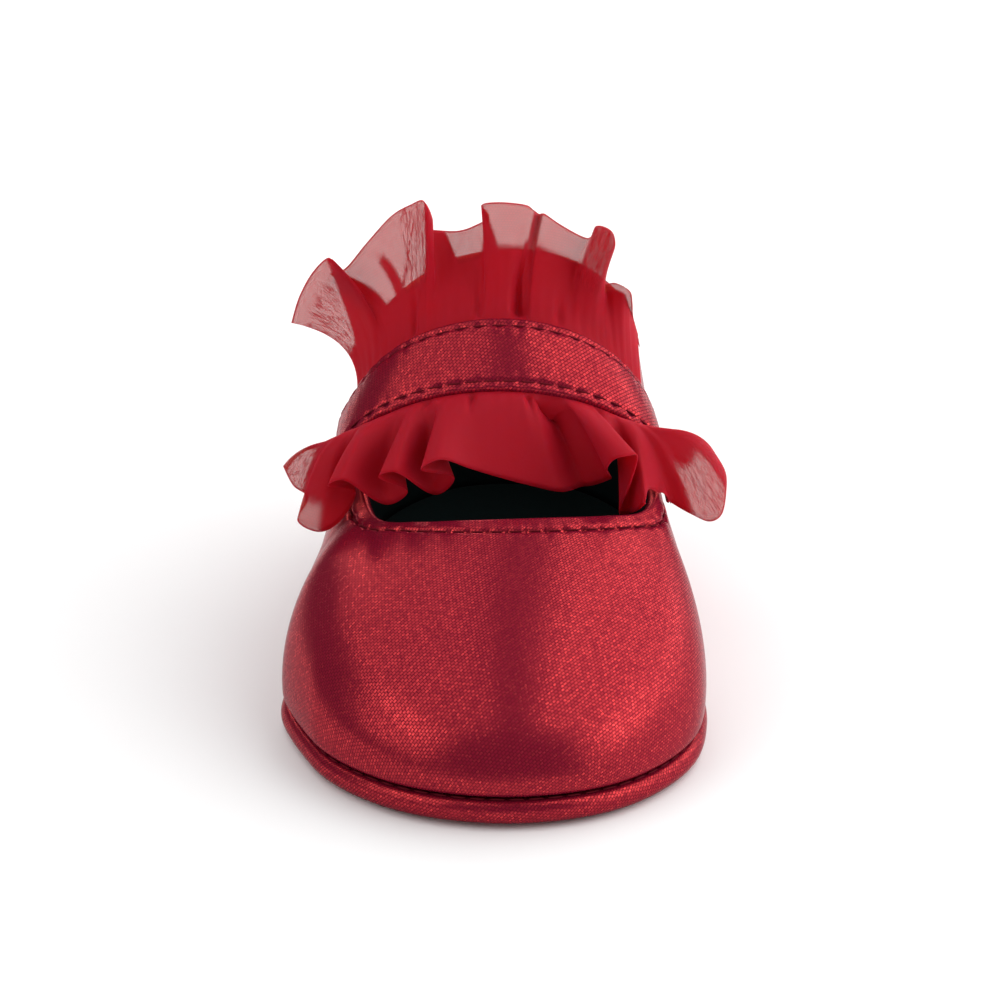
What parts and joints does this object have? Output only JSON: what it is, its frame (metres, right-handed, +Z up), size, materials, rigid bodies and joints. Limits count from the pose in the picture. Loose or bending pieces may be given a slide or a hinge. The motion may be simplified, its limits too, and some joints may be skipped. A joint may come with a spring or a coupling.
{
  "type": "crib shoe",
  "caption": "Red satin crib shoe with a soft wrapped sole, hollow upper, stitched strap over the instep and a gathered chiffon ruffle on each edge of the strap.",
  "frame": {"origin": "middle of the shoe's box, on the floor that the sole stands on", "axes": "+Z up, -Y to the toe, +X to the inner side of the foot"},
  "size_m": [0.0642, 0.106, 0.0689],
  "materials": {
    "sole_satin": "red satin wrapped over a soft padded board",
    "lining": "matt black cotton",
    "upper_satin": "red satin with a metallic sheen",
    "strap_satin": "red satin with a metallic sheen, stitched edges",
    "chiffon": "sheer crinkled red chiffon"
  },
  "bodies": {
    "root": {"outsole": "sole_satin", "insole": "lining", "upper": "upper_satin", "strap": "strap_satin", "ruffle_lower": "chiffon", "ruffle_upper": "chiffon"}
  },
  "joints": []
}
